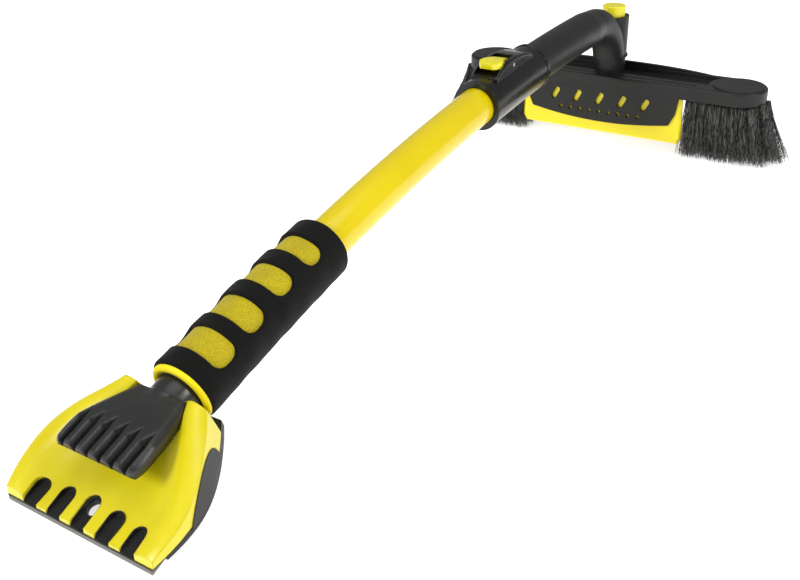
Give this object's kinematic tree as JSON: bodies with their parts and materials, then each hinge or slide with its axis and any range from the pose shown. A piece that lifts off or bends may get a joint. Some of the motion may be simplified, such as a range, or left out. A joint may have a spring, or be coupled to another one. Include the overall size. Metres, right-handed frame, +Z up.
{
  "type": "windshield ice scraper with snow brush",
  "caption": "Long-handled ice scraper: toothed scraper with ice claw, foam grip, arched telescoping tube with flip lock, and a swivelling brush head with plough plate.",
  "frame": {"origin": "floor point under the middle of the tool's length and width, with the bristle tips and the scraper's edge on the floor", "axes": "+Z up along the brush pivot, +Y from the scraper to the brush head in the handle's plane, +X across the tool"},
  "size_m": [0.332, 0.6718, 0.1308],
  "materials": {
    "tube_yellow": "glossy powder coat",
    "scraper_yellow": "semi-gloss moulded",
    "lever_yellow": "gloss moulded",
    "plough_yellow": "semi-gloss moulded",
    "arm_black": "satin moulded",
    "collar_black": "gloss moulded",
    "claw_black": "satin moulded",
    "tray_black": "satin moulded",
    "pad_black": "matte soft grip",
    "blade_grey": "satin",
    "foam_black": "closed-cell foam",
    "foam_yellow": "closed-cell foam",
    "head_black": "satin moulded",
    "bristle_black": "split-end filament",
    "bush_grey": "satin",
    "steel": "zinc plated"
  },
  "bodies": {
    "handle": {"handle_tube": "tube_yellow", "tube_end_bush": "bush_grey", "foam_sleeve": "foam_yellow", "foam_grip": "foam_black", "scraper_body": "scraper_yellow", "scraper_tray": "tray_black", "scraper_blade": "blade_grey", "side_pad_left": "pad_black", "side_pad_right": "pad_black", "ice_claw": "claw_black", "scraper_screws": "steel", "neck_pin": "steel"},
    "arm": {"lock_collar": "collar_black", "elbow_arm": "arm_black", "lever_pin": "steel", "pivot_bolt": "steel", "pivot_washer": "steel", "pivot_nut": "steel", "button_spring": "steel"},
    "lever": {"lock_lever": "lever_yellow"},
    "button": {"pivot_button": "lever_yellow"},
    "brush_head": {"brush_block": "head_black", "front_skirt": "head_black", "plough_plate": "plough_yellow", "plate_screws": "steel", "bristles_left": "bristle_black", "bristles_right": "bristle_black"}
  },
  "joints": [
    {"name": "arm_telescope", "type": "hinge", "parent": "handle", "child": "arm", "pos_m": [0, 0.2841, -1.8024], "axis": [-1, 0, 0], "range_deg": [0, 2.8]},
    {"name": "brush_swivel", "type": "hinge", "parent": "arm", "child": "brush_head", "pos_m": [0, 0.3115, 0.0789], "axis": [0, 0, 1], "range_deg": [-90, 90]},
    {"name": "button_press", "type": "slide", "parent": "arm", "child": "button", "axis": [0, 0, -1], "range_m": [0, 0.004], "stiffness_N_per_m": 800, "springref_m": -0.002, "deforming": ["button_spring"]},
    {"name": "lever_flip", "type": "hinge", "parent": "arm", "child": "lever", "pos_m": [0, 0.09314, 0.12526], "axis": [-1, 0, 0], "range_deg": [0, 80]}
  ]
}
